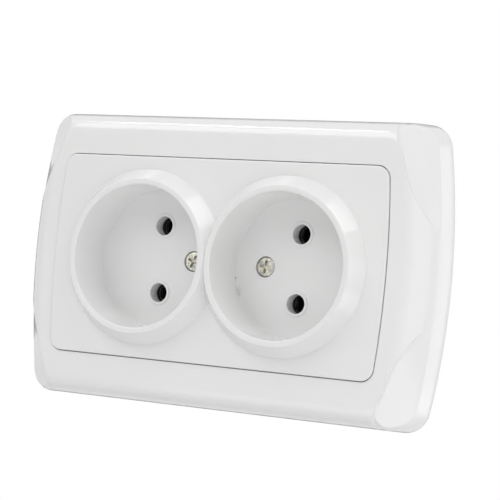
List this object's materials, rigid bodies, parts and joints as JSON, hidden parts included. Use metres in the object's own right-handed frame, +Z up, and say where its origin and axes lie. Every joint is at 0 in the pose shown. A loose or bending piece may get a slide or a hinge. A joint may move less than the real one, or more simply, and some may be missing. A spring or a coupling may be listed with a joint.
{
  "type": "double wall socket",
  "caption": "Flush wall socket with side-by-side round cups for two-pin plugs, a bowed outer frame with sunk corner facets, and screw terminals and spreader claws behind it.",
  "frame": {"origin": "middle of the round wall box, on the wall surface", "axes": "+X to the right, +Y into the wall, +Z up"},
  "size_m": [0.1306, 0.0382, 0.0814],
  "materials": {
    "frame_plastic": "glossy white moulded plastic",
    "insert_plastic": "glossy white moulded plastic",
    "zinc_steel": "zinc plated, faintly yellow",
    "strap_steel": "galvanised sheet",
    "block_plastic": "matt moulded plastic",
    "cover_plastic": "matt pressed insulating sheet",
    "rivet_metal": "plain",
    "contact_nickel": "nickel plated strip",
    "clamp_steel": "zinc plated",
    "claw_steel": "galvanised sheet"
  },
  "bodies": {
    "base": {"cover_frame": "frame_plastic", "socket_insert": "insert_plastic", "insert_screws": "zinc_steel", "insert_nuts": "zinc_steel", "mounting_strap": "strap_steel", "contact_block": "block_plastic", "contact_cover": "cover_plastic", "strap_rivets": "rivet_metal", "line_contact_strip": "contact_nickel", "neutral_contact_strip": "contact_nickel"},
    "terminal_screw_line_a": {"terminal_screw_line_a": "zinc_steel"},
    "clamp_plate_line_a": {"clamp_plate_line_a": "clamp_steel"},
    "terminal_screw_line_b": {"terminal_screw_line_b": "zinc_steel"},
    "clamp_plate_line_b": {"clamp_plate_line_b": "clamp_steel"},
    "terminal_screw_neutral_a": {"terminal_screw_neutral_a": "zinc_steel"},
    "clamp_plate_neutral_a": {"clamp_plate_neutral_a": "clamp_steel"},
    "terminal_screw_neutral_b": {"terminal_screw_neutral_b": "zinc_steel"},
    "clamp_plate_neutral_b": {"clamp_plate_neutral_b": "clamp_steel"},
    "claw_screw_upper": {"claw_screw_upper": "zinc_steel"},
    "claw_upper": {"claw_upper": "claw_steel"},
    "claw_screw_lower": {"claw_screw_lower": "zinc_steel"},
    "claw_lower": {"claw_lower": "claw_steel"}
  },
  "joints": [
    {"name": "terminal_screw_line_a_turn", "type": "hinge", "parent": "base", "child": "terminal_screw_line_a", "pos_m": [-0.012, 0.0027, 0.0115], "axis": [0, 1, 0], "range_deg": [0, 1440]},
    {"name": "clamp_plate_line_a_draw", "type": "slide", "parent": "base", "child": "clamp_plate_line_a", "axis": [0, -1, 0], "range_m": [0, 0.0024]},
    {"name": "terminal_screw_line_b_turn", "type": "hinge", "parent": "base", "child": "terminal_screw_line_b", "pos_m": [-0.002, 0.0027, 0.0115], "axis": [0, 1, 0], "range_deg": [0, 1440]},
    {"name": "clamp_plate_line_b_draw", "type": "slide", "parent": "base", "child": "clamp_plate_line_b", "axis": [0, -1, 0], "range_m": [0, 0.0024]},
    {"name": "terminal_screw_neutral_a_turn", "type": "hinge", "parent": "base", "child": "terminal_screw_neutral_a", "pos_m": [0.012, 0.0027, -0.0115], "axis": [0, 1, 0], "range_deg": [0, 1440]},
    {"name": "clamp_plate_neutral_a_draw", "type": "slide", "parent": "base", "child": "clamp_plate_neutral_a", "axis": [0, -1, 0], "range_m": [0, 0.0024]},
    {"name": "terminal_screw_neutral_b_turn", "type": "hinge", "parent": "base", "child": "terminal_screw_neutral_b", "pos_m": [0.002, 0.0027, -0.0115], "axis": [0, 1, 0], "range_deg": [0, 1440]},
    {"name": "clamp_plate_neutral_b_draw", "type": "slide", "parent": "base", "child": "clamp_plate_neutral_b", "axis": [0, -1, 0], "range_m": [0, 0.0024]},
    {"name": "claw_screw_upper_turn", "type": "hinge", "parent": "base", "child": "claw_screw_upper", "pos_m": [0.0095, -0.001, 0.0225], "axis": [0, 1, 0], "range_deg": [0, 1370]},
    {"name": "claw_upper_swing", "type": "hinge", "parent": "base", "child": "claw_upper", "pos_m": [0.0095, 0.007, 0.018], "axis": [1, 0, 0], "range_deg": [0, 25]},
    {"name": "claw_screw_lower_turn", "type": "hinge", "parent": "base", "child": "claw_screw_lower", "pos_m": [-0.0095, -0.001, -0.0225], "axis": [0, 1, 0], "range_deg": [0, 1370]},
    {"name": "claw_lower_swing", "type": "hinge", "parent": "base", "child": "claw_lower", "pos_m": [-0.0095, 0.007, -0.018], "axis": [-1, 0, 0], "range_deg": [0, 25]}
  ],
  "couplings": [
    {"joint": "terminal_screw_line_a_turn", "follows": "clamp_plate_line_a_draw", "rad_per_m": 10471},
    {"joint": "terminal_screw_line_b_turn", "follows": "clamp_plate_line_b_draw", "rad_per_m": 10471},
    {"joint": "terminal_screw_neutral_a_turn", "follows": "clamp_plate_neutral_a_draw", "rad_per_m": 10471},
    {"joint": "terminal_screw_neutral_b_turn", "follows": "clamp_plate_neutral_b_draw", "rad_per_m": 10471},
    {"joint": "claw_screw_upper_turn", "follows": "claw_upper_swing", "ratio": 54.799},
    {"joint": "claw_screw_lower_turn", "follows": "claw_lower_swing", "ratio": 54.799}
  ]
}
